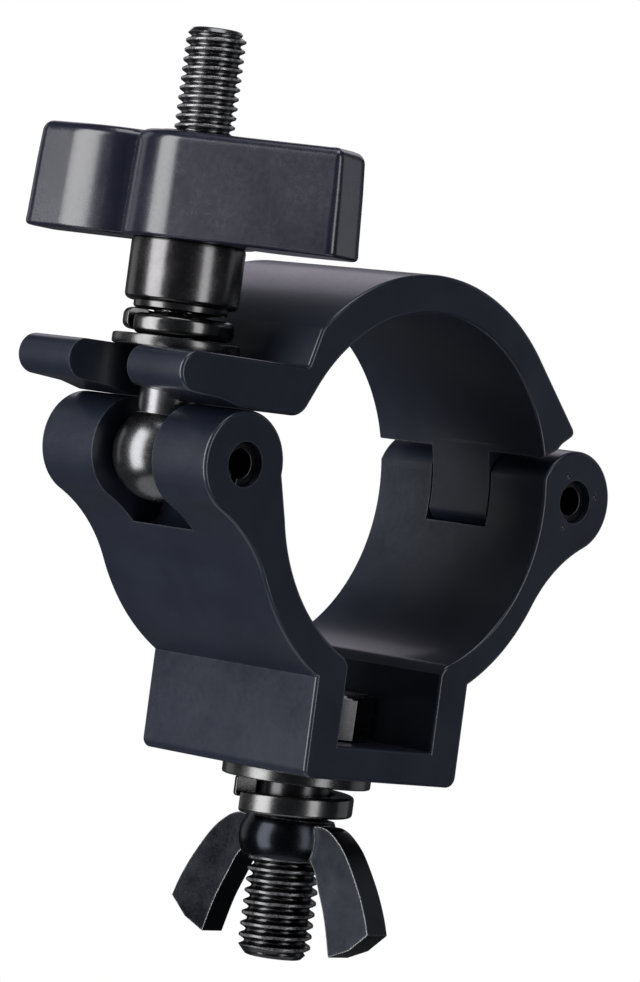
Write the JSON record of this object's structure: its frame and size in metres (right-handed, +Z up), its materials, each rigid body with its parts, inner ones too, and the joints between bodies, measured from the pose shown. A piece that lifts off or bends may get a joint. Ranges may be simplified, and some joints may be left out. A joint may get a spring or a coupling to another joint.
{
  "type": "pipe clamp",
  "caption": "Hinged clamp for a stage pipe: pivoting upper jaw, swing-out eyebolt with winged knob, and a captive hex bolt with washers and wing nut under a box-shaped base.",
  "frame": {"origin": "centre of the pipe bore, on the pipe axis at mid width", "axes": "+Y along the pipe, -X towards the eyebolt and knob, +X towards the jaw hinge, +Z up, with the mounting bolt hanging along -Z"},
  "size_m": [0.0824, 0.0472, 0.1209],
  "materials": {
    "body_powder_coat": "satin black powder coat on cast aluminium",
    "jaw_powder_coat": "satin black powder coat on cast aluminium",
    "pin_steel": "dark spring steel",
    "eye_pin_steel": "dark spring steel",
    "eyebolt_zinc": "black zinc plate, semi-gloss",
    "knob_satin": "satin black coat on die-cast aluminium",
    "sleeve_black_oxide": "polished black oxide",
    "washer_zinc": "black zinc plate",
    "coil_zinc": "black zinc plate",
    "bolt_zinc": "black zinc plate",
    "mount_washer_zinc": "black zinc plate",
    "mount_coil_zinc": "black zinc plate",
    "wing_nut_black": "black plated casting with worn light edges"
  },
  "bodies": {
    "lower_body": {"lower_body": "body_powder_coat", "hinge_pin": "pin_steel", "eyebolt_pin": "eye_pin_steel", "mount_bolt": "bolt_zinc"},
    "upper_jaw": {"upper_jaw": "jaw_powder_coat"},
    "eyebolt": {"eyebolt": "eyebolt_zinc"},
    "knob_washers": {"knob_flat_washer": "washer_zinc", "knob_spring_washer": "coil_zinc"},
    "knob": {"knob_handle": "knob_satin", "knob_sleeve": "sleeve_black_oxide"},
    "mount_washers": {"mount_flat_washer": "mount_washer_zinc", "mount_spring_washer": "mount_coil_zinc"},
    "wing_nut": {"wing_nut": "wing_nut_black"}
  },
  "joints": [
    {"name": "jaw_hinge", "type": "hinge", "parent": "lower_body", "child": "upper_jaw", "pos_m": [0.0303, 0, 0.0019], "axis": [0, 1, 0], "range_deg": [0, 105]},
    {"name": "eyebolt_swing", "type": "hinge", "parent": "lower_body", "child": "eyebolt", "pos_m": [-0.0322, 0, 0.0011], "axis": [0, -1, 0], "range_deg": [0, 110]},
    {"name": "knob_travel", "type": "slide", "parent": "eyebolt", "child": "knob_washers", "axis": [0, 0, 1], "range_m": [0, 0.0345]},
    {"name": "knob_spin", "type": "hinge", "parent": "knob_washers", "child": "knob", "pos_m": [-0.0322, 0, 0], "axis": [0, 0, 1], "range_deg": [0, 9792]},
    {"name": "nut_travel", "type": "slide", "parent": "lower_body", "child": "mount_washers", "axis": [0, 0, -1], "range_m": [0, 0.0125]},
    {"name": "wing_nut_spin", "type": "hinge", "parent": "mount_washers", "child": "wing_nut", "pos_m": [0, 0, 0], "axis": [0, 0, -1], "range_deg": [0, 2880]}
  ],
  "couplings": [
    {"joint": "knob_travel", "follows": "knob_spin", "m_per_rad": 0.00019894},
    {"joint": "eyebolt_swing", "follows": "knob_spin", "ratio": 0.0091912},
    {"joint": "jaw_hinge", "follows": "knob_spin", "ratio": 0.0015319},
    {"joint": "nut_travel", "follows": "wing_nut_spin", "m_per_rad": 0.00023873}
  ]
}
